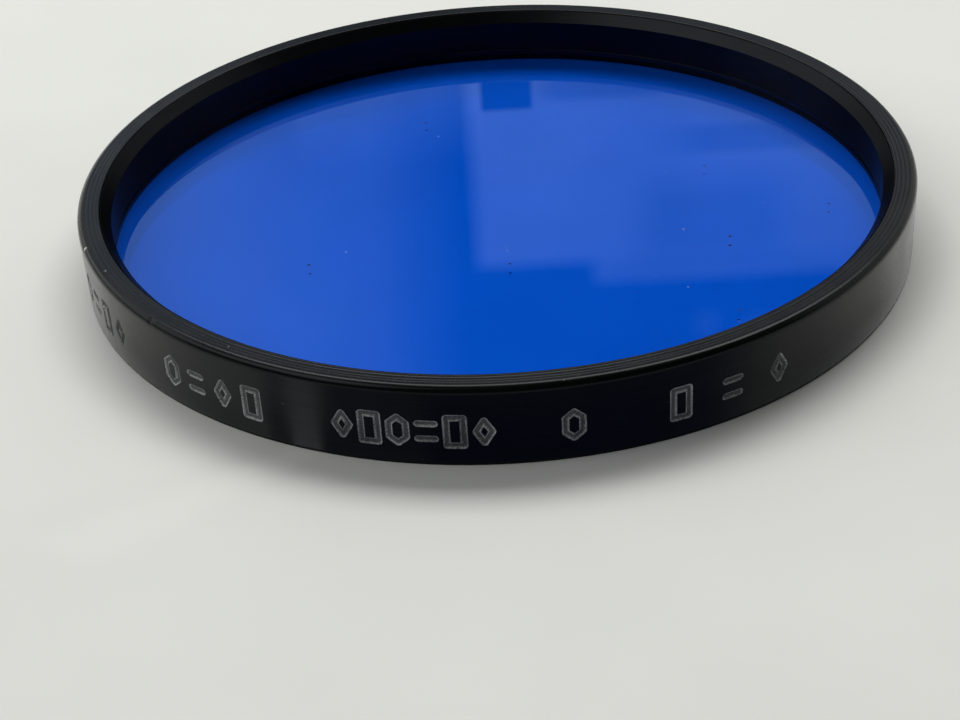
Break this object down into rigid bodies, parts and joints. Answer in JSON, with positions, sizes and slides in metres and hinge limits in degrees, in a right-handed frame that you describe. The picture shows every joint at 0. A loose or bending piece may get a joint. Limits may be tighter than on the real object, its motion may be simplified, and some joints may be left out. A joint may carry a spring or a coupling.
{
  "type": "drop-in colour filter",
  "caption": "Round drop-in colour filter: deep blue laminated glass held in a thin black turned rim by a pressed-in bevelled ring.",
  "frame": {"origin": "centre of the rim's lower face, on which the filter lies", "axes": "+Z along the optical axis, towards the retaining ring; -Y towards the middle of the stamped marks"},
  "size_m": [0.0508, 0.0508, 0.0047],
  "materials": {
    "anodised_rim": "turned, black anodised, satin, with light grey stamped marks",
    "anodised_ring": "turned, black anodised, satin",
    "clear_glass": "polished optical glass with a ground edge",
    "blue_core": "deep blue dyed layer"
  },
  "bodies": {
    "root": {"rim": "anodised_rim", "retaining_ring": "anodised_ring", "front_glass": "clear_glass", "colour_core": "blue_core", "rear_glass": "clear_glass"}
  },
  "joints": []
}
